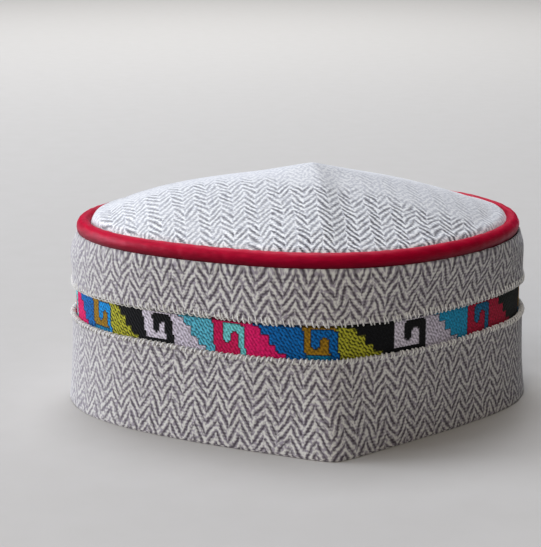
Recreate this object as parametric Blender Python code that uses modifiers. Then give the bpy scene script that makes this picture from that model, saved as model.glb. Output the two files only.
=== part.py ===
"""Himachali cap of herringbone tweed, with a woven border strip and a red corded crown edge.

The cap stands on its hem at z = 0, and its front fold points along -Y. Its wall is three bands,
one above the other. Each band is lofted through the level sections that its table names, and the
crown is lofted from the corded edge up to a soft peak. Lengths are metres and bearings degrees.
"""
import math
from typing import NamedTuple

import bmesh
import bpy

# Points round each section: a multiple of four puts one on the front fold and one on the back fold.
SEGMENTS = 80

CLEARANCE = 0.0003
CUFF_THICKNESS = 0.0016
UPPER_WALL_THICKNESS = 0.0012
BAND_THICKNESS = 0.0012
CROWN_THICKNESS = 0.0015

PIPING_RADIUS = 0.00325
PIPING_HEIGHT = 0.0771

CUFF_HEIGHT = 0.0386
BAND_SHOWN = 0.0139
BAND_MARGIN = 0.0050

# How far round the cap, in radians, the cloth bends at a fold instead of making a knife edge.
FOLD_ROUNDING = 0.040


class Section(NamedTuple):
    """A level outline of the cap, seen from above: a rounded body pulled out to a fold at each end.

    A lopsided one is blunter at its +X end and more pointed at the other.
    """
    height: float
    half_width: float
    body_depth: float
    fold_depth: float
    squareness: float = 0.048
    lopsidedness: float = 0.0


class CrownRing(NamedTuple):
    """A ring of the crown: its share of the way out to the rim, and its rise above the rim."""
    reach: float
    rise: float


class CrownFold(NamedTuple):
    """A soft fold of the crown, above the dome where its rise is positive and below it where not."""
    bearing: float
    distance: float
    rise: float
    half_width: float
    half_length: float


# The first two rows stand upright, so that the hem is cut square and rests flat.
CUFF_SECTIONS = (
    Section(0.0000, half_width=0.1019, body_depth=0.0878, fold_depth=0.0977, lopsidedness=-0.02),
    Section(0.0015, half_width=0.1019, body_depth=0.0878, fold_depth=0.0977, lopsidedness=-0.02),
    Section(0.0070, half_width=0.1011, body_depth=0.0874, fold_depth=0.0958, lopsidedness=-0.01),
    Section(0.0140, half_width=0.1006, body_depth=0.0871, fold_depth=0.0939, lopsidedness=0.0),
    Section(0.0240, half_width=0.1001, body_depth=0.0866, fold_depth=0.0913, lopsidedness=0.01),
    Section(0.0330, half_width=0.0998, body_depth=0.0862, fold_depth=0.0889, lopsidedness=0.02),
    Section(CUFF_HEIGHT, half_width=0.1000, body_depth=0.0864, fold_depth=0.0876, lopsidedness=0.02),
)

BAND_TOP = CUFF_HEIGHT + BAND_SHOWN
BAND_SECTION = Section(CUFF_HEIGHT, half_width=0.0981, body_depth=0.0845, fold_depth=0.0856, lopsidedness=0.02)
MARGIN_INSET = CLEARANCE

UPPER_WALL_SECTIONS = (
    Section(BAND_TOP, 0.0996, body_depth=0.0860, fold_depth=0.0871, squareness=0.048, lopsidedness=0.02),
    Section(0.0575, 0.0994, body_depth=0.0859, fold_depth=0.0867, squareness=0.047, lopsidedness=0.02),
    Section(0.0625, 0.0993, body_depth=0.0858, fold_depth=0.0862, squareness=0.043, lopsidedness=0.04),
    Section(0.0670, 0.0991, body_depth=0.0855, fold_depth=0.0856, squareness=0.037, lopsidedness=0.055),
    Section(0.0700, 0.0986, body_depth=0.0850, fold_depth=0.0850, squareness=0.032, lopsidedness=0.07),
)

# The middle line of the corded edge, round which the upper wall and the crown are turned in.
PIPING_SECTION = Section(
    PIPING_HEIGHT, 0.0940, body_depth=0.0811, fold_depth=0.0811, squareness=0.026, lopsidedness=0.08)
TURN_IN_HEIGHT = PIPING_HEIGHT - PIPING_RADIUS - CLEARANCE
SHOULDER_HEIGHT = TURN_IN_HEIGHT - 0.0012
SHOULDER_OUTSET = 0.0034
TURN_IN_OUTSET = 0.0018

CROWN_RIM_HEIGHT = 0.0775
CROWN_RIM_OUTSET = -(PIPING_RADIUS + CLEARANCE)
CROWN_TURN_DOWN = CROWN_RIM_HEIGHT - TURN_IN_HEIGHT - CLEARANCE
CROWN_PEAK_X = 0.0055
CROWN_RISE = 0.0252
CROWN_RINGS = (
    CrownRing(reach=1.00, rise=0.0000),
    CrownRing(reach=0.95, rise=0.0037),
    CrownRing(reach=0.87, rise=0.0067),
    CrownRing(reach=0.75, rise=0.0098),
    CrownRing(reach=0.60, rise=0.0133),
    CrownRing(reach=0.45, rise=0.0165),
    CrownRing(reach=0.30, rise=0.0193),
    CrownRing(reach=0.16, rise=0.0220),
    CrownRing(reach=0.07, rise=0.0237),
)
# A soft ridge and the hollow beside it run forward from the peak, and the left end is puffed up.
CROWN_FOLDS = (
    CrownFold(bearing=-79.0, distance=0.020, rise=0.0009, half_width=0.0045, half_length=0.018),
    CrownFold(bearing=-67.0, distance=0.026, rise=-0.0016, half_width=0.0045, half_length=0.017),
    CrownFold(bearing=172.0, distance=0.064, rise=0.0027, half_width=0.0400, half_length=0.028),
)

TWEED_GREY = (0.36, 0.35, 0.35, 1.0)
CROWN_GREY = (0.50, 0.50, 0.51, 1.0)
PIPING_RED = (0.45, 0.006, 0.03, 1.0)
BAND_BLUE = (0.03, 0.16, 0.33, 1.0)


def outline(section, outset=0.0):
    """Points of a section, moved outwards by outset along the outline's own normal."""
    mean = (section.half_width + section.body_depth) / (2.0 + 2.0 * section.squareness)
    ovalness = (section.half_width - section.body_depth) / (2.0 * mean)

    def body_reach(angle):
        blunt = section.lopsidedness * math.cos(angle) * math.sin(angle) ** 2
        square = section.squareness * math.cos(4.0 * angle)
        return mean * (1.0 + ovalness * math.cos(2.0 * angle) + square + blunt)

    def flank(side):
        """The slant of the straight cloth on one side of the folds, and how far round it meets the body."""
        steepest, touch = 0.0, 0.0
        for step in range(1, 90):
            from_fold = math.radians(step)
            reach = body_reach(math.pi / 2.0 - side * from_fold)
            slant = math.atan2(reach * math.sin(from_fold), section.fold_depth - reach * math.cos(from_fold))
            if slant < math.pi / 2.0 and slant > steepest:
                steepest, touch = slant, from_fold
        return steepest, touch

    flanks = {side: flank(side) for side in (-1.0, 1.0)}

    def point(angle):
        from_fold = abs(math.remainder(angle - math.pi / 2.0, math.pi))
        slant, touch = flanks[math.copysign(1.0, math.cos(angle))]
        reach = body_reach(angle)
        if from_fold < touch:
            bend = math.hypot(from_fold, FOLD_ROUNDING) - FOLD_ROUNDING
            reach = max(reach, section.fold_depth * math.sin(slant) / math.sin(slant + bend))
        return reach * math.cos(angle), reach * math.sin(angle)

    turn = 2.0 * math.pi / SEGMENTS
    points = []
    for index in range(SEGMENTS):
        angle = index * turn
        x, y = point(angle)
        before, after = point(angle - turn / 4.0), point(angle + turn / 4.0)
        along_x, along_y = after[0] - before[0], after[1] - before[1]
        length = math.hypot(along_x, along_y)
        x += outset * along_y / length
        y -= outset * along_x / length
        points.append((x, y, section.height))
    return points


def level(section, height, outset=0.0):
    """The outline of a section, set out and lifted to another height."""
    return outline(section._replace(height=height), outset)


def tinted(name, color, roughness):
    """A plain Principled material."""
    material = bpy.data.materials.new(name)
    material.use_nodes = True
    shader = material.node_tree.nodes["Principled BSDF"]
    shader.inputs["Base Color"].default_value = color
    shader.inputs["Roughness"].default_value = roughness
    shader.inputs["Metallic"].default_value = 0.0
    return material


def loft(name, rings, peak=None):
    """An open skin through rings of points, listed from the lowest, closed by a peak if one is given."""
    mesh = bpy.data.meshes.new(name)
    shape = bmesh.new()
    loops = [[shape.verts.new(point) for point in ring] for ring in rings]
    for lower, upper in zip(loops, loops[1:]):
        for index in range(SEGMENTS):
            following = (index + 1) % SEGMENTS
            shape.faces.new((lower[index], lower[following], upper[following], upper[index]))
    if peak is not None:
        top = shape.verts.new(peak)
        last = loops[-1]
        for index in range(SEGMENTS):
            shape.faces.new((last[index], last[(index + 1) % SEGMENTS], top))
    shape.to_mesh(mesh)
    shape.free()
    return mesh


def cloth(name, mesh, thickness, material, collection):
    """A wall of cloth: a lofted skin, thickened inwards."""
    piece = bpy.data.objects.new(name, mesh)
    collection.objects.link(piece)
    wall = piece.modifiers.new("thickness", "SOLIDIFY")
    wall.thickness = thickness
    wall.offset = -1.0
    wall.use_even_offset = True
    mesh.materials.append(material)
    mesh.shade_smooth()
    mesh.set_sharp_from_angle(angle=math.radians(40.0))
    return piece


def crown_rise(x, y, rise):
    """The rise of the dome at a point, with its soft folds."""
    for fold in CROWN_FOLDS:
        bearing = math.radians(fold.bearing)
        from_peak_x = x - CROWN_PEAK_X
        along = from_peak_x * math.cos(bearing) + y * math.sin(bearing) - fold.distance
        across = y * math.cos(bearing) - from_peak_x * math.sin(bearing)
        fade = (along / fold.half_length) ** 2 + (across / fold.half_width) ** 2
        rise += fold.rise * math.exp(-fade)
    return rise


def crown_rings():
    """The crown's rings, from its turned-down edge up to the last ring below the peak."""
    rim = level(PIPING_SECTION, CROWN_RIM_HEIGHT, CROWN_RIM_OUTSET)
    rings = [[(x, y, z - CROWN_TURN_DOWN) for x, y, z in rim]]
    for ring in CROWN_RINGS:
        points = []
        for rim_x, rim_y, rim_z in rim:
            x = CROWN_PEAK_X + (rim_x - CROWN_PEAK_X) * ring.reach
            y = rim_y * ring.reach
            rise = crown_rise(x, y, ring.rise) if ring.rise else 0.0
            points.append((x, y, rim_z + rise))
        rings.append(points)
    return rings


def make_cuff(collection):
    """The folded lower band, which stands on its hem."""
    skin = loft("cuff", [outline(section) for section in CUFF_SECTIONS])
    return cloth("cuff", skin, CUFF_THICKNESS, tinted("cuff tweed", TWEED_GREY, 0.95), collection)


def make_woven_band(collection):
    """The border strip, with a margin hidden behind each neighbour."""
    skin = loft("woven_band", [
        level(BAND_SECTION, CUFF_HEIGHT - BAND_MARGIN, -MARGIN_INSET),
        level(BAND_SECTION, CUFF_HEIGHT),
        level(BAND_SECTION, BAND_TOP),
        level(BAND_SECTION, BAND_TOP + BAND_MARGIN, -MARGIN_INSET),
    ])
    return cloth("woven_band", skin, BAND_THICKNESS, tinted("border weave", BAND_BLUE, 0.9), collection)


def make_upper_wall(collection):
    """The upper band, turned in under the corded edge and the crown's edge."""
    rings = [outline(section) for section in UPPER_WALL_SECTIONS]
    rings.append(level(PIPING_SECTION, SHOULDER_HEIGHT, SHOULDER_OUTSET))
    rings.append(level(PIPING_SECTION, TURN_IN_HEIGHT, TURN_IN_OUTSET))
    rings.append(level(PIPING_SECTION, TURN_IN_HEIGHT, CROWN_RIM_OUTSET - CROWN_THICKNESS))
    skin = loft("upper_wall", rings)
    return cloth("upper_wall", skin, UPPER_WALL_THICKNESS, tinted("wall tweed", TWEED_GREY, 0.95), collection)


def make_crown(collection):
    """The domed top, turned down inside the corded edge to the top of the wall."""
    peak = (CROWN_PEAK_X, 0.0, CROWN_RIM_HEIGHT + CROWN_RISE)
    skin = loft("crown", crown_rings(), peak)
    return cloth("crown", skin, CROWN_THICKNESS, tinted("crown tweed", CROWN_GREY, 0.95), collection)


def make_piping(collection):
    """The red covered cord round the edge of the crown."""
    curve = bpy.data.curves.new("piping", "CURVE")
    curve.dimensions = "3D"
    curve.bevel_depth = PIPING_RADIUS
    curve.bevel_resolution = 3
    line = curve.splines.new("POLY")
    line.points.add(SEGMENTS - 1)
    for point, (x, y, z) in zip(line.points, outline(PIPING_SECTION)):
        point.co = (x, y, z, 1.0)
    line.use_cyclic_u = True
    curve.materials.append(tinted("piping cloth", PIPING_RED, 0.7))
    piece = bpy.data.objects.new("piping", curve)
    collection.objects.link(piece)
    return piece


def main():
    for old in list(bpy.data.objects):
        bpy.data.objects.remove(old, do_unlink=True)
    collection = bpy.data.collections.new("himachali_cap")
    bpy.context.scene.collection.children.link(collection)
    make_cuff(collection)
    make_woven_band(collection)
    make_upper_wall(collection)
    make_piping(collection)
    make_crown(collection)


main()
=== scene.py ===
"""The himachali cap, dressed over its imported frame.

Each CAD node is replaced by a finely meshed cloth piece that keeps its outline: the cuff, the
woven border strip, the upper wall, the corded edge and the crown. Lengths are metres unless a
name says millimetres. The front fold points along -Y and the hem rests on z = 0.
"""
import math
import random

import bpy
import numpy as np
from mathutils import Matrix, Vector, noise
from mathutils.bvhtree import BVHTree


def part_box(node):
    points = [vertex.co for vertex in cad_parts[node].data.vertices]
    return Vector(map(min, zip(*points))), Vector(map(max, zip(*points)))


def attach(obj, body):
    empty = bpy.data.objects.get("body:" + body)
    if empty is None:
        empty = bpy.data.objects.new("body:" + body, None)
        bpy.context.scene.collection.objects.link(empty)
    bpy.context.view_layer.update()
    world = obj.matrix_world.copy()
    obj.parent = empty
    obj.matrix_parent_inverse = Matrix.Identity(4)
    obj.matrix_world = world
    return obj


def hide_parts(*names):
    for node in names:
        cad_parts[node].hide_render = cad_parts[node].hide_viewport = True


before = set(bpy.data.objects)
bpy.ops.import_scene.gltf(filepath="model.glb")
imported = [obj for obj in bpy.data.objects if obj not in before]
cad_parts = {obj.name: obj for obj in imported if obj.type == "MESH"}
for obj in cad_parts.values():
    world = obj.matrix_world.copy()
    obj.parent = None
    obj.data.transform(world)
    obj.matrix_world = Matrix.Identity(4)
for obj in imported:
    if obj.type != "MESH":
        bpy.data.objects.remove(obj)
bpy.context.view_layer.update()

MM = 0.001

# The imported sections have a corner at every 4.5 degrees, one of them on each fold.
SECTION_CORNERS = 80
# Every strip of cloth starts and ends at the back fold, where its seam is hidden from the front.
BACK_FOLD = math.pi / 2.0

# The photograph's view: a long lens close to the table, a little to the wearer's right of the front fold.
VIEW_AIM = Vector((-0.01240, 0.00375, 0.05237))
VIEW_DISTANCE = 0.7275
VIEW_BEARING = math.radians(7.55)
VIEW_ELEVATION = math.radians(13.5)
VIEW_ROLL = math.radians(0.205)
LENS_MM = 108.08
SENSOR_MM = 36.0

# How thick each wall of cloth is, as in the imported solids, and the mesh columns round a band.
CUFF_THICKNESS = 1.6 * MM
UPPER_WALL_THICKNESS = 1.2 * MM
BORDER_THICKNESS = 1.2 * MM
CROWN_THICKNESS = 1.5 * MM
BAND_COLUMNS = 900

# Herringbone tweed: the width of one column, the climb from one light rib to the next, their slope,
# the length of one thick or thin place in the carded yarn, and that of one pick of the weft.
HERRINGBONE_COLUMN_MM = 5.2
HERRINGBONE_PITCH_MM = 4.9
HERRINGBONE_SLOPE = math.tan(math.radians(57.5))
TWEED_YARN_MM = 0.9
WEFT_PICK_MM = 1.27

# The border strip: how many stitches of its weave go round, how many rows of them show, and how many
# more are tucked in at each margin.
STITCHES_ROUND = 600
STITCH_ROWS = 17
HIDDEN_ROWS = 3
# Its twill: how many ribs go round, how far a rib moves along for each step down, and half its height.
TWILL_RIBS_ROUND = 370
TWILL_LEAN = 0.65
TWILL_RELIEF = 0.08 * MM

# Whip stitches: how far apart they are sewn, and the thinnest and thickest of their wool.
STITCH_SPACING_MM = 2.25
STITCH_WOOL_MM = (0.55, 0.8)

# About how far the crown's edge lies from its peak.
CROWN_REACH = 85.0 * MM
# Its soft fold runs from the peak to the front, this far off the middle line, and past it the dome
# lies lower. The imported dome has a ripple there, between these two of its corners.
FOLD_LEAN = math.radians(7.5)
FOLD_DEPTH = 1.5 * MM
RIPPLE_CORNERS = (61, 71)


def bearings_round(count, start=BACK_FOLD):
    """Evenly spaced bearings all round the cap, from the back fold if no start is named."""
    return start + 2.0 * math.pi * np.arange(count) / count


def read_ring(tree, height):
    """How far out a packed wall's outer side lies at a height, bearing by bearing."""
    reaches = []
    for bearing in bearings_round(SECTION_CORNERS, 0.0):
        outwards = Vector((math.cos(bearing), math.sin(bearing), 0.0))
        place = tree.ray_cast(outwards * 0.2 + Vector((0.0, 0.0, height)), -outwards)[0]
        reaches.append(math.hypot(place.x, place.y))
    return np.array(reaches)


def tree_of(node):
    """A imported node's faces, ready for rays."""
    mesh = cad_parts[node].data
    places = [vertex.co.copy() for vertex in mesh.vertices]
    return BVHTree.FromPolygons(places, [tuple(face.vertices) for face in mesh.polygons])


def round_off(table, passes):
    """Eases the kinks between a table's rows and keeps its first and last row."""
    for _ in range(passes):
        table[1:-1] = (table[:-2] + 2.0 * table[1:-1] + table[2:]) / 4.0
    return table


def fill_in(corners, bearings):
    """A smooth closed curve through evenly spaced values, read at any bearings."""
    count = corners.shape[-1]
    place = np.mod(bearings, 2.0 * math.pi) / (2.0 * math.pi) * count
    first = np.floor(place).astype(int)
    share = place - first
    before, here, after, beyond = (corners[..., (first + step) % count] for step in (-1, 0, 1, 2))
    slope_here = (after - before) / 2.0
    slope_after = (beyond - here) / 2.0
    bulge = 2.0 * (here - after) + slope_here + slope_after
    lean = 3.0 * (after - here) - 2.0 * slope_here - slope_after
    return here + share * (slope_here + share * (lean + share * bulge))


class Wall:
    """The outer side of a packed wall node, read a millimetre at a time."""

    def __init__(self, node, columns):
        low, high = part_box(node)
        tree = tree_of(node)
        self.low = low.z
        self.high = high.z
        self.levels = np.arange(low.z + 0.2 * MM, high.z - 0.1 * MM, MM)
        corners = round_off(np.array([read_ring(tree, level) for level in self.levels]), 3)
        self.bearings = bearings_round(columns)
        self.reaches = fill_in(corners, self.bearings)

    def ring(self, height, outset=0.0):
        """Points on the wall at a height, moved out along the outline's own normal."""
        height = np.broadcast_to(height, self.bearings.shape)
        place = np.clip((height - self.levels[0]) / MM, 0.0, len(self.levels) - 1.001)
        row = place.astype(int)
        share = place - row
        column = np.arange(len(self.bearings))
        reach = self.reaches[row, column] * (1.0 - share) + self.reaches[row + 1, column] * share
        x = reach * np.cos(self.bearings)
        y = reach * np.sin(self.bearings)
        along_x = np.roll(x, -1) - np.roll(x, 1)
        along_y = np.roll(y, -1) - np.roll(y, 1)
        length = np.hypot(along_x, along_y)
        return np.stack([x + outset * along_y / length, y - outset * along_x / length, height], axis=-1)

    def lengths_mm(self, height):
        """The cloth's own measure along the wall from the back fold, with one more value for the close."""
        ring = self.ring(height)
        steps = np.linalg.norm(np.roll(ring, -1, axis=0) - ring, axis=1)
        return np.concatenate([[0.0], np.cumsum(steps)]) / MM


def waver(bearings, size_mm, seed):
    """Smooth closed noise along the wall, about -1 to 1, with bumps of a size in millimetres."""
    reach = 90.0 / size_mm
    return np.array([
        noise.noise(Vector((reach * math.cos(b), reach * math.sin(b), seed * 7.3))) for b in bearings
    ]) * 1.6


def sway(points):
    """How far the soft wall leans out or in at each point: hand-sewn cloth is never quite even."""
    broad = [noise.noise(Vector(point) * 28.0) for point in points.reshape(-1, 3)]
    small = [noise.noise(Vector(point) * 85.0 + Vector((3.0, 1.0, 4.0))) for point in points.reshape(-1, 3)]
    lean = 0.45 * MM * np.array(broad) + 0.16 * MM * np.array(small)
    return lean.reshape(points.shape[:-1])


def near(place, level, reach):
    """One at a level, and fading to nothing within about two reaches of it."""
    return np.exp(-((place - level) / reach) ** 2)


def risen(place, start, end):
    """How far a place lies from a start to an end, held between nothing and one."""
    return np.clip((place - start) / (end - start), 0.0, 1.0)


def pushed_out(points, amount):
    """Points moved level, away from the cap's middle."""
    outwards = points[..., :2] / np.linalg.norm(points[..., :2], axis=-1, keepdims=True)
    moved = points.copy()
    moved[..., :2] += outwards * amount[..., None]
    return moved


def rolled_section(low, high, thickness):
    """A folded strip cut across: pairs of outset and height, up the outside, over and down the inside."""
    radius = thickness / 2.0
    path = []
    for height in np.arange(low + radius, high - radius, 0.6 * MM):
        path.append((0.0, height))
    for step in range(7):
        angle = math.pi * step / 6.0
        path.append((-radius + radius * math.cos(angle), high - radius + radius * math.sin(angle)))
    for height in np.arange(high - radius - 1.6 * MM, low + radius, -1.6 * MM):
        path.append((-thickness, height))
    for step in range(1, 6):
        angle = math.pi * step / 6.0
        path.append((-radius - radius * math.cos(angle), low + radius - radius * math.sin(angle)))
    return np.array(path)


def piece_from(name, places, faces, corner_marks=None, corner_tints=None, nap_and_sheen=None):
    """A mesh piece with its cloth's own measure in millimetres kept as a UV map."""
    mesh = bpy.data.meshes.new(name)
    mesh.from_pydata(places.reshape(-1, 3).tolist(), [], faces)
    if corner_marks is not None:
        measure = mesh.uv_layers.new(name="cloth_mm")
        measure.uv.foreach_set("vector", np.asarray(corner_marks, dtype=np.float32).ravel())
    if corner_tints is not None:
        tints = mesh.color_attributes.new(name="yarn", type="FLOAT_COLOR", domain="CORNER")
        tints.data.foreach_set("color", np.asarray(corner_tints, dtype=np.float32).ravel())
    if nap_and_sheen is not None:
        nap_and_sheen_amount = mesh.attributes.new(name="nap_and_sheen", type="FLOAT", domain="POINT")
        nap_and_sheen_amount.data.foreach_set("value", np.asarray(nap_and_sheen, dtype=np.float32).ravel())
    mesh.validate()
    mesh.shade_smooth()
    piece = bpy.data.objects.new(name, mesh)
    bpy.context.scene.collection.objects.link(piece)
    return piece


def hoop_faces(rows, columns):
    """Quads round a closed hoop of closed sections, listed row by row, seen from outside."""
    faces = []
    for row in range(rows):
        above = (row + 1) % rows
        for column in range(columns):
            beside = (column + 1) % columns
            faces.append((
                row * columns + column,
                row * columns + beside,
                above * columns + beside,
                above * columns + column,
            ))
    return faces


def hoop_marks(along, across):
    """The cloth measure at each corner of the quads of hoop_faces."""
    left, low = np.meshgrid(along[:-1], across[:-1])
    right, high = np.meshgrid(along[1:], across[1:])
    return np.stack([
        np.stack([left, low], -1),
        np.stack([right, low], -1),
        np.stack([right, high], -1),
        np.stack([left, high], -1),
    ], axis=2)


def measure_round(section):
    """Millimetres along a closed line from its first point, with one more value for the close."""
    steps = np.linalg.norm(np.roll(section, -1, axis=0) - section, axis=1)
    return np.concatenate([[0.0], np.cumsum(steps)]) / MM


def fitted(along):
    """A measure round the cap stretched a little, so that whole herringbone repeats go round."""
    repeat = 2.0 * HERRINGBONE_COLUMN_MM
    return along * (round(along[-1] / repeat) * repeat / along[-1])


def add(tree, kind, settings=None, sockets=None):
    """Adds a node, sets its own values, and sets or links its sockets."""
    made = tree.nodes.new(kind)
    for name, value in (settings or {}).items():
        setattr(made, name, value)
    for key, value in (sockets or {}).items():
        if isinstance(value, bpy.types.NodeSocket):
            tree.links.new(value, made.inputs[key])
        else:
            made.inputs[key].default_value = value
    return made


def hex_color(code):
    """An sRGB hex value turned to the linear colour that a shader takes."""
    shares = [int(code[place:place + 2], 16) / 255.0 for place in (1, 3, 5)]
    linear = [share / 12.92 if share <= 0.04045 else ((share + 0.055) / 1.055) ** 2.4 for share in shares]
    return (*linear, 1.0)


def new_finish(name, finish):
    """An empty material, and its tree with a Principled shader that has the finish's own values."""
    material = bpy.data.materials.new(name)
    material.use_nodes = True
    tree = material.node_tree
    tree.nodes.clear()
    shader = add(tree, "ShaderNodeBsdfPrincipled", {}, finish)
    add(tree, "ShaderNodeOutputMaterial", {}, {"Surface": shader.outputs[0]})
    return material, tree, shader


def herringbone_tweed(name, light, middle, dark, dark_share, soft, relief_mm, lying, sheen):
    """Wool tweed in a broken herringbone, hand woven from carded yarn and then fulled a little.

    Light ribs climb and fall in columns with charcoal lines between them. The carded yarn is
    uneven, so a line swells, thins and breaks up at each pick of the weft, and no two ribs are
    equally bright. Loose fibres stand up from it and whiten the cloth at a glancing angle.

    The dark lines take about dark_share of the cloth, and soft is how gradually one of them ends.
    The ribs of every other column lie flatter, so nap hides them further, by lying.
    """
    material, tree, shader = new_finish(name, {
        "Roughness": 0.95, "Specular IOR Level": 0.2,
        "Sheen Weight": sheen, "Sheen Roughness": 0.35, "Sheen Tint": hex_color("#eef0f6")})
    measure = add(tree, "ShaderNodeUVMap", {"uv_map": "cloth_mm"})
    # The weave is drawn a little askew, in broad waves and small ones.
    broad = add(tree, "ShaderNodeTexNoise", {"noise_dimensions": "2D"}, {
        "Vector": measure.outputs[0], "Scale": 0.07, "Detail": 1.0})
    small = add(tree, "ShaderNodeTexNoise", {"noise_dimensions": "2D"}, {
        "Vector": measure.outputs[0], "Scale": 0.4, "Detail": 1.0})
    drawn = add(tree, "ShaderNodeVectorMath", {"operation": "MULTIPLY_ADD"}, {
        0: broad.outputs["Color"], 1: (3.0, 5.0, 0.0), 2: measure.outputs[0]})
    shift = add(tree, "ShaderNodeVectorMath", {"operation": "MULTIPLY_ADD"}, {
        0: small.outputs["Color"], 1: (0.5, 0.6, 0.0), 2: drawn.outputs[0]})
    place = add(tree, "ShaderNodeSeparateXYZ", {}, {0: shift.outputs[0]})
    # The columns, each slipped along against the next, and how far a point is from a dark line's middle.
    column = add(tree, "ShaderNodeMath", {"operation": "PINGPONG"}, {
        0: place.outputs[0], 1: HERRINGBONE_COLUMN_MM})
    column_share = add(tree, "ShaderNodeMath", {"operation": "DIVIDE"}, {
        0: place.outputs[0], 1: HERRINGBONE_COLUMN_MM})
    column_number = add(tree, "ShaderNodeMath", {"operation": "FLOOR"}, {0: column_share.outputs[0]})
    slip = add(tree, "ShaderNodeTexWhiteNoise", {"noise_dimensions": "1D"}, {"W": column_number.outputs[0]})
    climb = add(tree, "ShaderNodeMath", {"operation": "MULTIPLY_ADD"}, {
        0: column.outputs[0], 1: HERRINGBONE_SLOPE, 2: place.outputs[1]})
    slipped = add(tree, "ShaderNodeMath", {"operation": "MULTIPLY_ADD"}, {
        0: slip.outputs[0], 1: 0.45 * HERRINGBONE_PITCH_MM, 2: climb.outputs[0]})
    rib_share = add(tree, "ShaderNodeMath", {"operation": "DIVIDE"}, {
        0: slipped.outputs[0], 1: HERRINGBONE_PITCH_MM})
    rib = add(tree, "ShaderNodeMath", {"operation": "PINGPONG"}, {0: rib_share.outputs[0], 1: 0.5})
    # The lines: uneven yarn and the picks of the weft break them up, and they open where a column turns.
    yarn = add(tree, "ShaderNodeTexNoise", {"noise_dimensions": "2D"}, {
        "Vector": measure.outputs[0], "Scale": 1.0 / TWEED_YARN_MM, "Detail": 0.0})
    thick = add(tree, "ShaderNodeTexNoise", {"noise_dimensions": "2D"}, {
        "Vector": measure.outputs[0], "Scale": 0.35, "Detail": 1.0})
    along_warp = add(tree, "ShaderNodeSeparateXYZ", {}, {0: measure.outputs[0]})
    pick = add(tree, "ShaderNodeMath", {"operation": "PINGPONG"}, {
        0: along_warp.outputs[1], 1: WEFT_PICK_MM / 2.0})
    picked = add(tree, "ShaderNodeMath", {"operation": "MULTIPLY_ADD"}, {
        0: pick.outputs[0], 1: 0.2, 2: rib.outputs[0]})
    ragged = add(tree, "ShaderNodeMath", {"operation": "MULTIPLY_ADD"}, {
        0: yarn.outputs[0], 1: 0.2, 2: picked.outputs[0]})
    swollen = add(tree, "ShaderNodeMath", {"operation": "MULTIPLY_ADD"}, {
        0: thick.outputs[0], 1: 0.27, 2: ragged.outputs[0]})
    from_turn = add(tree, "ShaderNodeMath", {"operation": "PINGPONG"}, {
        0: place.outputs[0], 1: HERRINGBONE_COLUMN_MM / 2.0})
    turned = add(tree, "ShaderNodeMapRange", {"interpolation_type": "SMOOTHSTEP"}, {
        "Value": from_turn.outputs[0], "From Min": 0.1, "From Max": 0.8, "To Min": 0.13, "To Max": 0.0})
    dashed = add(tree, "ShaderNodeMath", {"operation": "ADD"}, {0: swollen.outputs[0], 1: turned.outputs[0]})
    line_edge = 0.31 + 0.5 * dark_share
    woven = add(tree, "ShaderNodeMapRange", {"interpolation_type": "SMOOTHSTEP"}, {
        "Value": dashed.outputs[0], "From Min": line_edge - soft, "From Max": line_edge + soft})
    # The light ribs: each float of yarn has a brightness of its own, and its crest is the brightest.
    along_rib = add(tree, "ShaderNodeMath", {"operation": "MULTIPLY"}, {0: along_warp.outputs[1], 1: 0.4})
    float_place = add(tree, "ShaderNodeCombineXYZ", {}, {
        0: along_rib.outputs[0], 1: slipped.outputs[0], 2: column_number.outputs[0]})
    floats = add(tree, "ShaderNodeTexNoise", {"noise_dimensions": "3D"}, {
        "Vector": float_place.outputs[0], "Scale": 0.8, "Detail": 1.0})
    fibres = add(tree, "ShaderNodeTexNoise", {"noise_dimensions": "2D"}, {
        "Vector": measure.outputs[0], "Scale": 0.85, "Detail": 0.0})
    both = add(tree, "ShaderNodeMath", {"operation": "ADD"}, {0: floats.outputs[0], 1: fibres.outputs[0]})
    crested = add(tree, "ShaderNodeMath", {"operation": "MULTIPLY_ADD"}, {
        0: rib.outputs[0], 1: 0.7, 2: both.outputs[0]})
    bright = add(tree, "ShaderNodeMapRange", {"interpolation_type": "SMOOTHSTEP"}, {
        "Value": crested.outputs[0], "From Min": 0.96, "From Max": 1.4})
    # Raised nap evens out the ribs and hides the lines between them. The same attribute holds
    # painted sheen and painted highlights, which lighten the cloth where light grazes it.
    nap_and_sheen = add(tree, "ShaderNodeAttribute", {"attribute_name": "nap_and_sheen"})
    other_way = add(tree, "ShaderNodeMath", {"operation": "FLOORED_MODULO"}, {
        0: column_number.outputs[0], 1: 2.0})
    nap_and_sheen_amount = add(tree, "ShaderNodeMath", {"operation": "MULTIPLY_ADD", "use_clamp": True}, {
        0: other_way.outputs[0], 1: lying, 2: nap_and_sheen.outputs["Fac"]})
    evened = add(tree, "ShaderNodeMath", {"operation": "MULTIPLY"}, {0: nap_and_sheen_amount.outputs[0], 1: 0.3})
    even = add(tree, "ShaderNodeMix", {}, {0: evened.outputs[0], "A": bright.outputs[0], "B": 0.6})
    rib_wool = add(tree, "ShaderNodeMix", {"data_type": "RGBA"}, {
        0: even.outputs[0], "A": hex_color(middle), "B": hex_color(light)})
    hidden = add(tree, "ShaderNodeMix", {}, {
        0: nap_and_sheen_amount.outputs[0], "A": woven.outputs[0], "B": 1.05 - 0.5 * dark_share})
    cloth = add(tree, "ShaderNodeMix", {"data_type": "RGBA"}, {
        0: hidden.outputs[0], "A": hex_color(dark), "B": rib_wool.outputs["Result"]})
    tree.links.new(cloth.outputs["Result"], shader.inputs["Base Color"])
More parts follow.
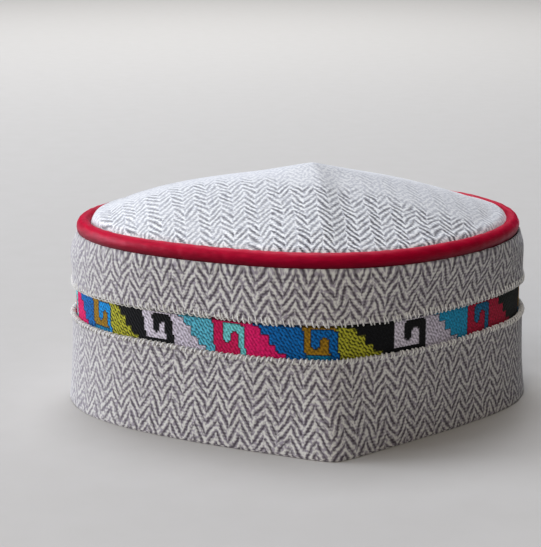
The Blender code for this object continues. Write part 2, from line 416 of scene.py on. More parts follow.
    # The ribs stand up between the lines, but not through the nap and the painted sheen.
    flattened = add(tree, "ShaderNodeMath", {"operation": "MULTIPLY_ADD", "use_clamp": True}, {
        0: nap_and_sheen_amount.outputs[0], 1: -1.0, 2: 1.0})
    ribbed = add(tree, "ShaderNodeMath", {"operation": "MULTIPLY_ADD"}, {
        0: yarn.outputs[0], 1: 0.4, 2: rib.outputs[0]})
    relief = add(tree, "ShaderNodeMath", {"operation": "MULTIPLY"}, {
        0: ribbed.outputs[0], 1: flattened.outputs[0]})
    bump = add(tree, "ShaderNodeBump", {}, {
        "Strength": 0.8, "Distance": relief_mm * MM, "Height": relief.outputs[0]})
    tree.links.new(bump.outputs[0], shader.inputs["Normal"])
    return material


def border_wool(rib_mm):
    """The border strip: dyed wool in a close twill, its colours packed in with a beater.

    Dark warp shows as a slanting hatch between the ribs of every colour, and the hand-dyed yarn is
    a little lighter or darker from stitch to stitch.
    """
    material, tree, shader = new_finish("border wool, hand woven", {
        "Roughness": 0.9, "Specular IOR Level": 0.15, "Sheen Weight": 0.06})
    yarn = add(tree, "ShaderNodeAttribute", {"attribute_name": "yarn"})
    measure = add(tree, "ShaderNodeUVMap", {"uv_map": "cloth_mm"})
    place = add(tree, "ShaderNodeSeparateXYZ", {}, {0: measure.outputs[0]})
    slant = add(tree, "ShaderNodeMath", {"operation": "MULTIPLY_ADD"}, {
        0: place.outputs[1], 1: TWILL_LEAN, 2: place.outputs[0]})
    twill = add(tree, "ShaderNodeMath", {"operation": "PINGPONG"}, {
        0: slant.outputs[0], 1: rib_mm / 2.0})
    rise = add(tree, "ShaderNodeMath", {"operation": "MULTIPLY_ADD"}, {
        0: place.outputs[0], 1: 0.4, 2: place.outputs[1]})
    float_end = add(tree, "ShaderNodeMath", {"operation": "PINGPONG"}, {0: rise.outputs[0], 1: 0.75})
    dotted = add(tree, "ShaderNodeMath", {"operation": "MULTIPLY_ADD"}, {
        0: float_end.outputs[0], 1: 0.8, 2: twill.outputs[0]})
    fleck = add(tree, "ShaderNodeTexNoise", {"noise_dimensions": "2D"}, {
        "Vector": measure.outputs[0], "Scale": 0.95, "Detail": 1.0})
    worn = add(tree, "ShaderNodeMath", {"operation": "MULTIPLY_ADD"}, {
        0: fleck.outputs[0], 1: 1.6, 2: dotted.outputs[0]})
    warp = add(tree, "ShaderNodeMapRange", {"interpolation_type": "SMOOTHSTEP"}, {
        "Value": worn.outputs[0], "From Min": 1.1, "From Max": 1.9, "To Min": 1.5, "To Max": 0.2})
    mottle = add(tree, "ShaderNodeMapRange", {}, {
        "Value": fleck.outputs[0], "From Min": 0.3, "From Max": 0.7, "To Min": 1.2, "To Max": 0.75})
    hatch = add(tree, "ShaderNodeMix", {}, {
        0: yarn.outputs["Alpha"], "A": mottle.outputs[0], "B": warp.outputs[0]})
    shaded = add(tree, "ShaderNodeVectorMath", {"operation": "SCALE"}, {
        0: yarn.outputs["Color"], "Scale": hatch.outputs[0]})
    tree.links.new(shaded.outputs[0], shader.inputs["Base Color"])
    bump = add(tree, "ShaderNodeBump", {"invert": True}, {
        "Strength": 0.7, "Distance": 0.2 * MM, "Height": worn.outputs[0]})
    tree.links.new(bump.outputs[0], shader.inputs["Normal"])
    return material


def sewing_wool():
    """Undyed two-ply wool for sewing: cream, soft and a little hairy."""
    material, tree, shader = new_finish("undyed sewing wool", {
        "Roughness": 0.9, "Specular IOR Level": 0.2, "Sheen Weight": 0.3})
    place = add(tree, "ShaderNodeTexCoord")
    ply = add(tree, "ShaderNodeTexNoise", {}, {
        "Vector": place.outputs["Object"], "Scale": 1.5 / MM, "Detail": 2.0})
    tone = add(tree, "ShaderNodeMix", {"data_type": "RGBA"}, {
        "Factor": ply.outputs[0], "A": hex_color("#c4c3c0"), "B": hex_color("#efeeea")})
    tree.links.new(tone.outputs["Result"], shader.inputs["Base Color"])
    return material


def piping_cotton(cord_radius_mm):
    """Crimson cotton sateen, cut on the bias and drawn over a cord: a soft gloss and fine creases.

    Its colour is painted lighter over the top of the cord and darker below it: painted light and
    painted shade. It is also a little darker in the hollows of its creases: painted shade.
    """
    material, tree, shader = new_finish("crimson cotton sateen", {
        "Roughness": 0.5, "Specular IOR Level": 0.5, "Specular Tint": hex_color("#ff3674"),
        "Sheen Weight": 0.38, "Sheen Roughness": 0.3, "Sheen Tint": hex_color("#ff2e6c")})
    measure = add(tree, "ShaderNodeUVMap", {"uv_map": "cloth_mm"})
    stretched = add(tree, "ShaderNodeMapping", {}, {
        "Vector": measure.outputs[0], "Rotation": (0.0, 0.0, math.radians(35.0)), "Scale": (0.25, 1.0, 1.0)})
    crease = add(tree, "ShaderNodeTexNoise", {"noise_dimensions": "2D"}, {
        "Vector": stretched.outputs[0], "Scale": 0.6, "Detail": 3.0, "Roughness": 0.6})
    thread = add(tree, "ShaderNodeTexNoise", {"noise_dimensions": "2D"}, {
        "Vector": measure.outputs[0], "Scale": 3.0, "Detail": 1.0})
    # Painted shade: darker in the hollows of the creases, lighter on their ridges.
    tone = add(tree, "ShaderNodeMapRange", {}, {
        "Value": crease.outputs[0], "From Min": 0.35, "From Max": 0.65, "To Min": 0.85, "To Max": 1.12})
    # Painted light over the top of the cord and painted shade under it, read round the cord.
    place = add(tree, "ShaderNodeSeparateXYZ", {}, {0: measure.outputs[0]})
    round_cord = add(tree, "ShaderNodeMath", {"operation": "MULTIPLY"}, {
        0: place.outputs[1], 1: 1.0 / cord_radius_mm})
    upward = add(tree, "ShaderNodeMath", {"operation": "SINE"}, {0: round_cord.outputs[0]})
    painted_light_from_above = add(tree, "ShaderNodeMapRange", {"interpolation_type": "SMOOTHSTEP"}, {
        "Value": upward.outputs[0], "From Min": -0.9, "From Max": 1.3})
    # One crimson, painted in a lit tone and a shaded tone.
    dyed = add(tree, "ShaderNodeMix", {"data_type": "RGBA"}, {
        0: painted_light_from_above.outputs[0], "A": hex_color("#40000a"), "B": hex_color("#b8072e")})
    creased = add(tree, "ShaderNodeVectorMath", {"operation": "SCALE"}, {
        0: dyed.outputs["Result"], "Scale": tone.outputs[0]})
    tree.links.new(creased.outputs[0], shader.inputs["Base Color"])
    relief = add(tree, "ShaderNodeMath", {"operation": "MULTIPLY_ADD"}, {
        0: thread.outputs[0], 1: 0.15, 2: crease.outputs[0]})
    bump = add(tree, "ShaderNodeBump", {}, {
        "Strength": 0.5, "Distance": 0.3 * MM, "Height": relief.outputs[0]})
    tree.links.new(bump.outputs[0], shader.inputs["Normal"])
    return material


def studio_paper():
    """Matt pale paper for the floor, with the faint mottle of its pulp."""
    material, tree, shader = new_finish("pale matt paper", {"Roughness": 0.9})
    place = add(tree, "ShaderNodeTexCoord")
    pulp = add(tree, "ShaderNodeTexNoise", {}, {"Vector": place.outputs["Object"], "Scale": 60.0})
    tone = add(tree, "ShaderNodeMix", {"data_type": "RGBA"}, {
        "Factor": pulp.outputs[0], "A": hex_color("#bfbcb7"), "B": hex_color("#c4c1bd")})
    tree.links.new(tone.outputs["Result"], shader.inputs["Base Color"])
    return material


def wall_nap_and_sheen(bearings, edge_highlight):
    """How far the weave is evened and lightened: painted highlight on a folded edge, nap and painted sheen
    on the bend at the wearer's right.
    """
    # Nap with painted sheen on the bend, where the light grazes it.
    bend = 0.75 * np.exp(-((bearings - math.radians(184.0)) / math.radians(20.0)) ** 2)
    return np.clip(bend + 0.15 * waver(bearings, 5.0, 12.0) * bend + edge_highlight, 0.0, 1.0)


def cuff_drift(bearings):
    """How far the cuff's folded edge rises and falls on its way round."""
    return 0.5 * MM * waver(bearings, 38.0, 1.0)


def hem_drift(bearings):
    """How far the upper wall's hem rises and falls on its way round."""
    return 0.35 * MM * waver(bearings, 22.0, 2.0)


def tweed_strip(name, wall, rows, section, naps_and_sheen, weave_start=(0.0, 0.0)):
    """A band of tweed from its rings, its weave measured from a start of its own in millimetres."""
    points = np.array(rows)
    points = pushed_out(points, sway(points))
    along = fitted(wall.lengths_mm(0.5 * (wall.low + wall.high)))
    marks = hoop_marks(along + weave_start[0], measure_round(section) + weave_start[1])
    return piece_from(name, points, hoop_faces(len(section), len(wall.bearings)), marks, nap_and_sheen=np.array(naps_and_sheen))


def make_cuff(tweed):
    """The folded lower band: a strip of tweed doubled over, its top edge a rolled fold."""
    wall = Wall("cuff", BAND_COLUMNS)
    section = rolled_section(wall.low, wall.high, CUFF_THICKNESS)
    drift = cuff_drift(wall.bearings)
    rows = []
    naps_and_sheen = []
    for outset, height in section:
        roll = 0.35 * MM * near(height, wall.high, 1.6 * MM)
        ring = wall.ring(height, outset + roll)
        ring[:, 2] += drift * (height - wall.low) / (wall.high - wall.low)
        rows.append(ring)
        # The rolled top edge gets a painted highlight.
        naps_and_sheen.append(wall_nap_and_sheen(wall.bearings, 0.9 * near(height, wall.high, 0.8 * MM)))
    piece = tweed_strip("cuff_cloth", wall, rows, section, naps_and_sheen)
    piece.data.materials.append(tweed)
    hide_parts("cuff")
    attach(piece, "root")


def make_upper_wall(tweed):
    """The upper band of tweed: a hem over the border strip, and a shoulder eased in under the piping.

    The hem stands off a little, the ease shows as fine puckers, and the cloth bulges a little below
    the piping on the wearer's right.
    """
    wall = Wall("upper_wall", BAND_COLUMNS)
    section = rolled_section(wall.low, wall.high - 0.4 * MM, UPPER_WALL_THICKNESS)
    drift = hem_drift(wall.bearings)
    puckers = 0.35 * MM * waver(wall.bearings, 4.5, 3.0)
    on_the_right = np.clip(-np.cos(wall.bearings), 0.0, 1.0) ** 8
    rows = []
    naps_and_sheen = []
    for outset, height in section:
        pucker = puckers * math.exp((height - wall.high) / (3.5 * MM))
        flare = 0.5 * MM * near(height, wall.low, 2.2 * MM)
        bulge = 0.9 * MM * on_the_right * near(height, wall.high - 9.0 * MM, 7.0 * MM)
        tuck = risen(height, wall.high - 3.2 * MM, wall.high - 0.6 * MM)
        ring = wall.ring(height, outset + pucker + flare + bulge)
        ring[:, 2] += drift * near(height, wall.low, 4.0 * MM) + 1.5 * MM * tuck ** 2
        rows.append(ring)
        # The hem's folded edge gets a painted highlight.
        naps_and_sheen.append(wall_nap_and_sheen(wall.bearings, 0.9 * near(height, wall.low, 0.6 * MM)))
    piece = tweed_strip("upper_wall_cloth", wall, rows, section, naps_and_sheen, weave_start=(4.0, 1.7))
    piece.data.materials.append(tweed)
    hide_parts("upper_wall")
    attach(piece, "root")


def stitch_from(path, thickness):
    """One stitch: a fat thread along a short path, pinched to nothing at both ends."""
    sides = 6
    path = np.array(path)
    count = len(path)
    places = [path[0]]
    for index in range(1, count - 1):
        along = path[index + 1] - path[index - 1]
        along /= np.linalg.norm(along)
        side = np.cross(along, (0.0, 0.0, 1.0))
        side /= max(np.linalg.norm(side), 1e-9)
        up = np.cross(side, along)
        width = thickness / 2.0 * math.sin(math.pi * index / (count - 1.0)) ** 0.4
        for step in range(sides):
            angle = 2.0 * math.pi * step / sides
            places.append(path[index] + width * (math.cos(angle) * side + math.sin(angle) * up))
    places.append(path[-1])
    last = len(places) - 1
    faces = []
    for step in range(sides):
        beside = (step + 1) % sides
        faces.append((0, 1 + beside, 1 + step))
        faces.append((last, last - sides + step, last - sides + beside))
        for index in range(count - 3):
            base = 1 + index * sides
            faces.append((base + step, base + beside, base + sides + beside, base + sides + step))
    return places, faces


def whip_stitches(name, lines, lengths, thread):
    """Overcast stitches along an edge: each crosses the same lines of the cloth and dips in at both ends."""
    places = []
    faces = []
    count = int(lengths[-1] / STITCH_SPACING_MM)
    into_the_cloth = np.array(-0.5 * MM)
    for stitch in range(count):
        where = (stitch + random.uniform(-0.25, 0.25)) * lengths[-1] / count
        column = int(np.searchsorted(lengths, where % lengths[-1])) % len(lines[0])
        beside = (column + random.choice((1, 2, 2, 3))) % len(lines[0])
        start, *turns, end = (
            line[column] * (1.0 - share) + line[beside] * share
            for line, share in zip(lines, np.linspace(0.0, 1.0, len(lines)))
        )
        start = start + np.array((0.0, 0.0, random.uniform(-0.3, 0.5) * MM))
        path = [pushed_out(start, into_the_cloth), start, *turns, end, pushed_out(end, into_the_cloth)]
        stitch_places, stitch_faces = stitch_from(path, random.uniform(*STITCH_WOOL_MM) * MM)
        faces.extend(tuple(len(places) + index for index in face) for face in stitch_faces)
        places.extend(stitch_places)
    piece = piece_from(name, np.array(places), faces)
    piece.data.materials.append(thread)
    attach(piece, "root")


def make_stitches(thread):
    """Cream wool whipped over the upper wall's hem and over the cuff's folded edge."""
    hem = Wall("upper_wall", BAND_COLUMNS)
    band = Wall("woven_band", BAND_COLUMNS)
    cuff = Wall("cuff", BAND_COLUMNS)
    over_hem = (
        hem.ring(hem.low + 2.1 * MM, 0.2 * MM),
        hem.ring(hem.low + 0.8 * MM, 0.5 * MM),
        hem.ring(hem.low - 0.1 * MM, 0.4 * MM),
        hem.ring(hem.low - 0.7 * MM, -0.1 * MM),
        band.ring(hem.low - 0.5 * MM, 0.1 * MM),
    )
    over_fold = (
        cuff.ring(cuff.high - 1.8 * MM, 0.3 * MM),
        cuff.ring(cuff.high - 0.8 * MM, 0.55 * MM),
        cuff.ring(cuff.high + 0.1 * MM, 0.0),
        cuff.ring(cuff.high + 0.1 * MM, -1.0 * MM),
        cuff.ring(cuff.high - 0.8 * MM, -1.6 * MM),
    )
    for name, wall, lines, drift in (
        ("hem_stitches", hem, over_hem, hem_drift(hem.bearings)),
        ("cuff_stitches", cuff, over_fold, cuff_drift(cuff.bearings)),
    ):
        swayed = []
        for line in lines:
            line = pushed_out(line, sway(line))
            line[:, 2] += drift
            swayed.append(line)
        whip_stitches(name, swayed, wall.lengths_mm(0.5 * (wall.low + wall.high)), thread)


# One hooked figure of the border, top row first: F is the figure's own wool, H the hook's, and U the
# wool of the last rows under it. In the chart S is the stair beside it, and G the ground.
HOOKED_FIGURE = (
    "FFFFFFFFFFFFFFFFF",
    "FFFFFFFFFFFFFFFFF",
    "FFFFFFHHHHHHHHHHF",
    "FFFFFHHHHHHHHHHHH",
    "FFFFFHHHHHHHHHHHH",
    "FFFFFHHHHHHHHHHHH",
    "FFFFFHHHHHFFHHHHH",
    "FFFFFHHHHFFFFHHHH",
    "FFFFFHHHHFFFFHHHH",
    "FFFFFHHHHFFFFHHHH",
    "FFFFFHHHHFFFFHHHH",
    "FFFFFFHHFFFFFHHHH",
    "FFFFFFFFFFFFFHHHH",
    "FFFFFFFFFFFFFHHHH",
    "FFFFFFFFFFFFFHHHH",
    "UUUUUUUUUUUUUHHHH",
    "UUUUUUUUUUUUUHHHH",
)
# The stair beside it comes down in steps: how far each reaches, in stitches, and its last row.
STAIR_STEPS = ((5, 1), (8, 5), (12, 10), (16, 14), (20, 16))
# The width that both are drawn for, from one figure to the next.
CHARTED_WIDTH = 44.0

# The wools of the border: each one's colour, and how plainly the dark warp shows between its ribs.
WOOLS = {
    "black": ("#0a0b0e", 0.3),
    "bottle": ("#0b1412", 0.3),
    "lilac": ("#b9b2c0", 0.45),
    "pale lilac": ("#c2bbc8", 0.45),
    "lime": ("#929128", 1.0),
    "olive": ("#8a6814", 0.4),
    "blue": ("#075a9c", 0.7),
    "sky blue": ("#0f7fc2", 0.5),
    "sea blue": ("#0c6f9a", 0.5),
    "deep blue": ("#0f5f86", 0.5),
    "bright teal": ("#1c87ae", 0.3),
    "teal": ("#4c9db2", 0.7),
    "sea green": ("#62b5b8", 0.4),
    "crimson": ("#b4104a", 0.15),
    "magenta": ("#c8145c", 0.15),
    "dark crimson": ("#a00f33", 0.25),
}


class Figure:
    """One figure of the border: its width and lean in stitches, and the wools of its parts."""

    def __init__(self, width, lean, figure, hook, under, stair, field):
        self.width = width
        self.lean = lean
        self.wools = {"F": figure, "H": hook, "U": under, "S": stair, "G": field}


def olive_on_blue(width, lean=0.0, hook="blue"):
    """Olive round a blue hook, its stair lime, on black."""
    return Figure(width, lean, "olive", hook, "sea blue", "lime", "black")


def grey_on_black(width, lean=0.0, field="teal"):
    """Pale lilac round a black hook, its stair lilac, on teal."""
    return Figure(width, lean, "pale lilac", "black", "black", "lilac", field)


def crimson_on_teal(width, lean=0.0):
    """Crimson round a sea green hook, its stair magenta, on blue."""
    return Figure(width, lean, "crimson", "sea green", "crimson", "magenta", "blue")


def crimson_on_blue(width, lean=0.0):
    """Dark crimson round a deep blue hook, its stair the same, on bottle green."""
    return Figure(width, lean, "dark crimson", "deep blue", "dark crimson", "dark crimson", "bottle")


def plain_black(width):
    """A plain stretch between two figures."""
    return Figure(width, 0.0, "black", "black", "black", "black", "black")


# The figures round the cap from the one at the front fold. They are counted by hand, so they vary.
FIGURES = (
    olive_on_blue(46, 1.5), grey_on_black(48, 0.0, "bright teal"), crimson_on_blue(41),
    plain_black(9), olive_on_blue(38), grey_on_black(38), crimson_on_teal(38),
    olive_on_blue(38), grey_on_black(41), crimson_on_teal(41),
    olive_on_blue(41), grey_on_black(40), crimson_on_teal(32, 1.0),
    olive_on_blue(31, 1.5, "sky blue"), grey_on_black(37, 2.5), crimson_on_teal(41, 1.5),
)
# The front figure starts this many stitches before the front fold.
FIRST_FIGURE = -15
FIELD_OVERLAP = 3


def border_chart():
    """The whole strip's wool for each row, lowest first, and stitch from the back fold.

    Each figure's field is laid a few stitches into the next figure's place, so that no gap is left
    where that one leans away. The next figure is then laid over it.
    """
    chart = [["black"] * STITCHES_ROUND for _ in range(STITCH_ROWS)]
    start = STITCHES_ROUND // 2 + FIRST_FIGURE
    for figure in FIGURES:
        for row in range(STITCH_ROWS):
            shift = round(figure.lean * (row / (STITCH_ROWS - 1.0) - 0.5))
            step = next(reach for reach, last in STAIR_STEPS if row <= last)
            for stitch in range(figure.width + FIELD_OVERLAP):
                drawn = stitch * CHARTED_WIDTH / figure.width
                if drawn < len(HOOKED_FIGURE[0]):
                    letter = HOOKED_FIGURE[row][int(drawn)]
                elif drawn < len(HOOKED_FIGURE[0]) + step:
                    letter = "S"
                else:
                    letter = "G"
                place = (start + stitch + shift) % STITCHES_ROUND
                chart[STITCH_ROWS - 1 - row][place] = figure.wools[letter]
        start += figure.width
    return chart


def border_yarns(across_stitch, up_stitch):
    """The linear colour, and how plainly the warp shows, of each part of each stitch of the chart."""
    wools = {name: hex_color(code)[:3] + (warp,) for name, (code, warp) in WOOLS.items()}
    chart = np.array([[wools[name] for name in line] for line in border_chart()], dtype=np.float32)
    # The last row is painted at a quarter of its colour: a painted shadow, the thin dark line under the hem.
    chart[-1, :, :3] *= 0.25
    yarns = np.repeat(np.repeat(chart, up_stitch, axis=0), across_stitch, axis=1)
    # Where one wool turns back and the next begins, the dark warp between them shows as a thin line.
    turned = np.any(yarns != np.roll(yarns, -1, axis=1), axis=2)
    turned[:-1] |= np.any(yarns[:-1] != yarns[1:], axis=2)
    yarns[..., :3] *= np.where(turned, 0.25, np.where(np.roll(turned, 1, axis=1), 0.6, 1.0))[..., None]
    return yarns


def make_border():
    """The woven border strip, stitch by stitch, with its margins tucked behind both neighbours."""
    across_stitch = 3
    up_stitch = 2
    wall = Wall("woven_band", STITCHES_ROUND * across_stitch)
    cuff_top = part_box("cuff")[1].z
    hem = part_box("upper_wall")[0].z
    row_height = (hem - cuff_top) / STITCH_ROWS
    shown_rows = STITCH_ROWS + 2 * HIDDEN_ROWS
    heights = cuff_top + row_height * (np.arange(shown_rows * up_stitch + 1) / up_stitch - HIDDEN_ROWS)
    along = wall.lengths_mm(cuff_top)
    rib_mm = along[-1] / TWILL_RIBS_ROUND
    rows = []
    for height in heights:
        slant = (along[:-1] + TWILL_LEAN * (height - heights[0]) / MM) / rib_mm
        rib = TWILL_RELIEF * np.cos(2.0 * math.pi * slant)
        rows.append(wall.ring(height, rib - TWILL_RELIEF))
    for height in heights[::-6]:
        rows.append(wall.ring(height, -BORDER_THICKNESS))
    points = np.array(rows)
    points = pushed_out(points, sway(points))
    columns = len(wall.bearings)
    section = np.stack([np.zeros(len(points)), points[:, 0, 2]], axis=-1)
    section[len(heights):, 0] = -BORDER_THICKNESS
    marks = hoop_marks(along, measure_round(section))
    yarns = border_yarns(across_stitch, up_stitch)
    tints = np.zeros((len(points), columns, 4, 4), dtype=np.float32)
    for row in range(len(points)):
        half_course = min(max(row - HIDDEN_ROWS * up_stitch, 0), len(yarns) - 1)
        if row >= len(heights) - 1:
            half_course = 0
        tints[row] = yarns[half_course][:, None, :]
    piece = piece_from("woven_border", points, hoop_faces(len(points), columns), marks, tints)
    piece.data.materials.append(border_wool(rib_mm))
    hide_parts("woven_band")
    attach(piece, "root")


def make_piping():
    """The corded edge: bias cloth drawn round a cord, creased where the curve crowds it.

    It is drawn in a little on the wearer's left, dips a little towards the back on their right, and
    stands a little taller than it is wide.
    """
    low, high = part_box("piping")
    radius = (high.z - low.z) / 2.0
    columns = 720
    sides = 40
    bearings = bearings_round(columns)
    reach = fill_in(read_ring(tree_of("piping"), low.z + radius), bearings) - radius
    reach -= 1.0 * MM * np.clip(np.cos(bearings), 0.0, 1.0) ** 3
    dip = 0.7 * MM * np.clip(np.cos(bearings - math.radians(150.0)), 0.0, 1.0) ** 4
    line = np.stack([reach * np.cos(bearings), reach * np.sin(bearings)], axis=-1)
    along = np.roll(line, -1, axis=0) - np.roll(line, 1, axis=0)
    along /= np.linalg.norm(along, axis=1, keepdims=True)
    outwards = np.stack([along[:, 1], -along[:, 0]], axis=-1)
    lengths = measure_round(line)
    rows = []
    for side in range(sides):
        angle = 2.0 * math.pi * side / sides
        crease = np.array([
            noise.noise(Vector((math.cos(b) * 26.0 + angle * 0.8, math.sin(b) * 26.0, angle * 1.1)))
            for b in bearings
        ])
        size = radius + 0.16 * MM * crease
        level = line + outwards * (size * math.cos(angle))[:, None]
        height = low.z + radius - dip - 0.15 * MM + 1.17 * size * math.sin(angle)
        rows.append(np.concatenate([level, height[:, None]], axis=-1))
    points = np.array(rows)
    across = np.arange(sides + 1) / sides * 2.0 * math.pi * radius / MM
    piece = piece_from("piping_cover", points, hoop_faces(sides, columns), hoop_marks(lengths, across))
    piece.data.materials.append(piping_cotton(radius / MM))
    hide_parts("piping")
    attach(piece, "root")


def dome_heights(tree, peak, rim, shares):
    """The dome's height on each line from its peak to a corner of its rim, its soft fold drawn anew."""
    across = (rim - (peak.x, peak.y))[None] * shares[:, None, None]
    heights = np.zeros(across.shape[:2])
    for row, corner in np.ndindex(heights.shape):
        above = Vector((peak.x + across[row, corner, 0], peak.y + across[row, corner, 1], 0.3))
        heights[row, corner] = tree.ray_cast(above, Vector((0.0, 0.0, -1.0)))[0].z
    first, last = RIPPLE_CORNERS
    for corner in range(first, last):
        along_ripple = (corner - first) / (last - first)
        heights[:, corner] = (1.0 - along_ripple) * heights[:, first] + along_ripple * heights[:, last]
    left_of_peak = across[..., 0] / MM
    before_peak = -across[..., 1] / MM
    past_fold = left_of_peak * math.cos(FOLD_LEAN) + before_peak * math.sin(FOLD_LEAN)
    stepped = risen(past_fold, 2.0, 13.0)
    stepped = stepped * stepped * (3.0 - 2.0 * stepped)
    # The fold starts in front of the peak, and fades out at the rim and round the wearer's left.
    stepped *= risen(before_peak, 0.0, 9.0) * (1.0 - risen(shares, 0.8, 1.0))[:, None]
    stepped *= 1.0 - risen(360.0 / len(rim) * np.arange(len(rim)), 295.0, 335.0)
    return heights - FOLD_DEPTH * stepped


def crown_nap_and_sheen(places):
    """How far nap and painted sheen hide the crown's weave and lighten it.

    Nap rubbed up, with painted sheen where the light grazes the dome, lies in a ragged band across
    the ridge, on most of the wearer's right, a little over the rest of the dome, and fully at its right tip.
    """
    x = places[:, 0] / MM
    y = places[:, 1] / MM
    patchy = 9.0 * np.array([noise.noise(Vector(place) * 0.13) for place in zip(x, y, 0.0 * x)])
    front_edge = -4.0 - 0.36 * np.maximum(x + 38.0, 0.0) - 6.0 * near(x, -5.0, 22.0)
    over_front = (y - front_edge + patchy) / 15.0 + 0.5
    over_back = (18.0 - y + patchy) / 15.0 + 0.5
    most = 0.95 - 0.25 * risen(x, 15.0, 55.0)
    ridge = np.minimum.reduce([over_front, over_back, most])
    tip = (-x - 85.0) / 6.0
    ragged = 0.04 * patchy
    on_the_right = 0.42 * risen(-x, 5.0, 50.0) + ragged
    inward = 1.0 - np.hypot(x / 95.0, y / 89.0)
    thin = 0.33 * risen(inward, 0.0, 0.5) * (1.0 - 0.6 * risen(x, -15.0, 5.0)) + ragged
    return np.clip(np.maximum.reduce([ridge, tip, on_the_right, thin]), 0.0, 1.0)


def dome_faces(rows, columns):
    """Quads between the rings of a closed dome, and fans round its peak and under it.

    The rings are listed first, and then the peak's point and the one under it.
    """
    faces = []
    for row in range(rows - 1):
        for column in range(columns):
            beside = (column + 1) % columns
            faces.append((
                row * columns + column,
                (row + 1) * columns + column,
                (row + 1) * columns + beside,
                row * columns + beside,
            ))
    top = rows * columns
    last = (rows - 1) * columns
    for column in range(columns):
        beside = (column + 1) % columns
        faces.append((top, column, beside))
        faces.append((top + 1, last + beside, last + column))
    return faces


def make_crown(tweed):
    """The domed top, cut from one round of tweed and eased in at its edge."""
    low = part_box("crown")[0]
    tree = tree_of("crown")
    peak = max((vertex.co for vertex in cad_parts["crown"].data.vertices), key=lambda place: place.z)
    corners = bearings_round(SECTION_CORNERS, 0.0)
    reaches = read_ring(tree, low.z + 1.5 * MM)
    rim = np.stack([reaches * np.cos(corners), reaches * np.sin(corners)], axis=-1)
    shares = np.linspace(0.0, 0.999, 90)
    heights = dome_heights(tree, peak, rim, shares)
    # The rows past the peak are set before the first one, so that easing the kinks rounds the peak too.
    beyond_peak = np.roll(heights[12:0:-1], SECTION_CORNERS // 2, axis=1)
    heights = round_off(np.concatenate([beyond_peak, heights]), 10)[len(beyond_peak):]
    columns = 640
    bearings = bearings_round(columns)
    dome_z = fill_in(heights, bearings)
    edge_x, edge_y = fill_in(rim.T, bearings)

    def ring_at(share, z):
        x = peak.x + (edge_x - peak.x) * share
        y = peak.y + (edge_y - peak.y) * share
        return np.stack([x, y, np.broadcast_to(z, x.shape)], axis=-1)

    rows = []
    for row in range(1, len(shares)):
        share = shares[row]
        gather = 0.25 * MM * waver(bearings, 7.0, 5.0) * math.exp((share - 1.0) / 0.06)
        from_rim = (1.0 - share) * CROWN_REACH
        puff = near(from_rim, 2.5 * MM, 2.6 * MM) * (1.0 + 0.7 * np.abs(np.cos(bearings)) ** 3)
        soft = ring_at(share + 0.9 * MM / CROWN_REACH * puff, dome_z[row] + 0.8 * MM * puff)
        swell = np.array([noise.noise(Vector(point) * 40.0) for point in soft]) * 0.35 * MM
        soft[:, 2] += gather + swell
        rows.append(soft)
    rows.append(ring_at(1.0, dome_z[-1] - 0.9 * MM))
    rows.append(ring_at(1.0, low.z))
    rows.append(ring_at(1.0 - CROWN_THICKNESS / CROWN_REACH, low.z))
    for row in range(len(shares) - 2, 1, -3):
        inside = shares[row] - CROWN_THICKNESS / CROWN_REACH * shares[row] ** 3
        rows.append(ring_at(inside, dome_z[row] - CROWN_THICKNESS))
    points = np.array(rows)
    middle = np.array((peak.x, peak.y, dome_z[0].mean()))
    under = middle - (0.0, 0.0, CROWN_THICKNESS)
    places = np.concatenate([points.reshape(-1, 3), [middle], [under]])
    naps_and_sheen = np.append(crown_nap_and_sheen(points.reshape(-1, 3)), [1.0, 1.0])
    faces = dome_faces(len(points), columns)
    # The weave is measured flat, along each line from the peak, as the round of tweed was cut.
    run = np.linalg.norm(np.diff(points, axis=0, prepend=np.broadcast_to(middle, (1, columns, 3))), axis=-1)
    reach = np.cumsum(run, axis=0) / MM
    flat = np.stack([reach * np.cos(bearings), reach * np.sin(bearings)], axis=-1).reshape(-1, 2)
    flat = np.concatenate([flat, np.zeros((2, 2))])
    marks = np.concatenate([flat[list(face)] for face in faces])
    piece = piece_from("crown_cloth", places, faces, marks, nap_and_sheen=naps_and_sheen)
    piece.data.materials.append(tweed)
    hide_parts("crown")
    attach(piece, "root")


def make_floor():
    """A wide sheet of pale paper for the cap to stand on."""
    half = 6.0
    corners = np.array([(-half, -half, 0.0), (half, -half, 0.0), (half, half, 0.0), (-half, half, 0.0)])
    floor = piece_from("paper_floor", corners, [(0, 1, 2, 3)])
    floor.data.materials.append(studio_paper())


def make_light(name, place, aim, size, power, color):
    """A soft square light that looks at a point."""
    data = bpy.data.lights.new(name, "AREA")
    data.shape = "SQUARE"
    data.size = size
    data.energy = power
    data.color = hex_color(color)[:3]
    light = bpy.data.objects.new(name, data)
    light.location = place
    light.rotation_euler = (Vector(aim) - Vector(place)).to_track_quat("-Z", "Y").to_euler()
    bpy.context.scene.collection.objects.link(light)


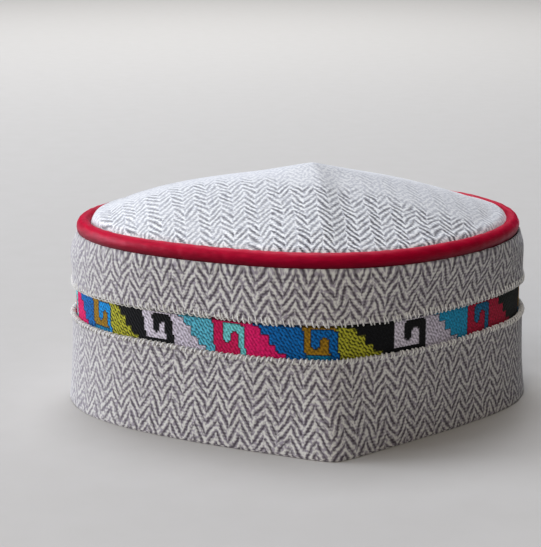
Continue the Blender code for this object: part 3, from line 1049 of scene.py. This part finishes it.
def light_the_studio():
    """Soft window-like light from the photograph's left and from above, and one for the far floor."""
    middle = (0.0, 0.0, 0.05)
    make_light("left_window", (-2.8, 0.7, 0.75), middle, 1.6, 95.0, "#f0f5ff")
    make_light("front_left_window", (-1.15, -2.7, 1.4), middle, 1.4, 41.0, "#fff7ee")
    make_light("high_window", (-0.1, 0.8, 2.7), middle, 1.6, 60.0, "#f2f6ff")
    make_light("far_floor_light", (0.2, 1.9, 1.5), (0.0, 2.6, 0.0), 1.2, 22.0, "#ffffff")
    world = bpy.data.worlds.new("dim room")
    world.use_nodes = True
    room = world.node_tree.nodes["Background"]
    room.inputs["Color"].default_value = hex_color("#e9edf2")
    room.inputs["Strength"].default_value = 0.01
    bpy.context.scene.world = world


def make_camera():
    """The photograph's camera."""
    data = bpy.data.cameras.new("camera")
    data.lens = LENS_MM
    data.sensor_width = SENSOR_MM
    data.clip_start = 0.01
    data.clip_end = 50.0
    camera = bpy.data.objects.new("camera", data)
    towards = Vector((
        -math.sin(VIEW_BEARING) * math.cos(VIEW_ELEVATION),
        -math.cos(VIEW_BEARING) * math.cos(VIEW_ELEVATION),
        math.sin(VIEW_ELEVATION),
    ))
    turn = (-towards).to_track_quat("-Z", "Y").to_matrix() @ Matrix.Rotation(VIEW_ROLL, 3, "Z")
    camera.matrix_world = Matrix.Translation(VIEW_AIM + towards * VIEW_DISTANCE) @ turn.to_4x4()
    bpy.context.scene.collection.objects.link(camera)
    bpy.context.scene.camera = camera


random.seed(7)
bpy.context.scene.view_settings.view_transform = "Standard"
make_camera()
light_the_studio()
make_floor()
wall_tweed = herringbone_tweed(
    "grey herringbone wool", light="#cfceca", middle="#98929b", dark="#4c454d",
    dark_share=0.37, soft=0.25, relief_mm=0.2, lying=0.0, sheen=0.3)
crown_tweed = herringbone_tweed(
    "pale herringbone wool", light="#f6f7f7", middle="#c5c7ce", dark="#332e36",
    dark_share=0.40, soft=0.25, relief_mm=0.1, lying=0.22, sheen=0.6)
make_cuff(wall_tweed)
make_border()
make_upper_wall(wall_tweed)
make_stitches(sewing_wool())
make_piping()
make_crown(crown_tweed)
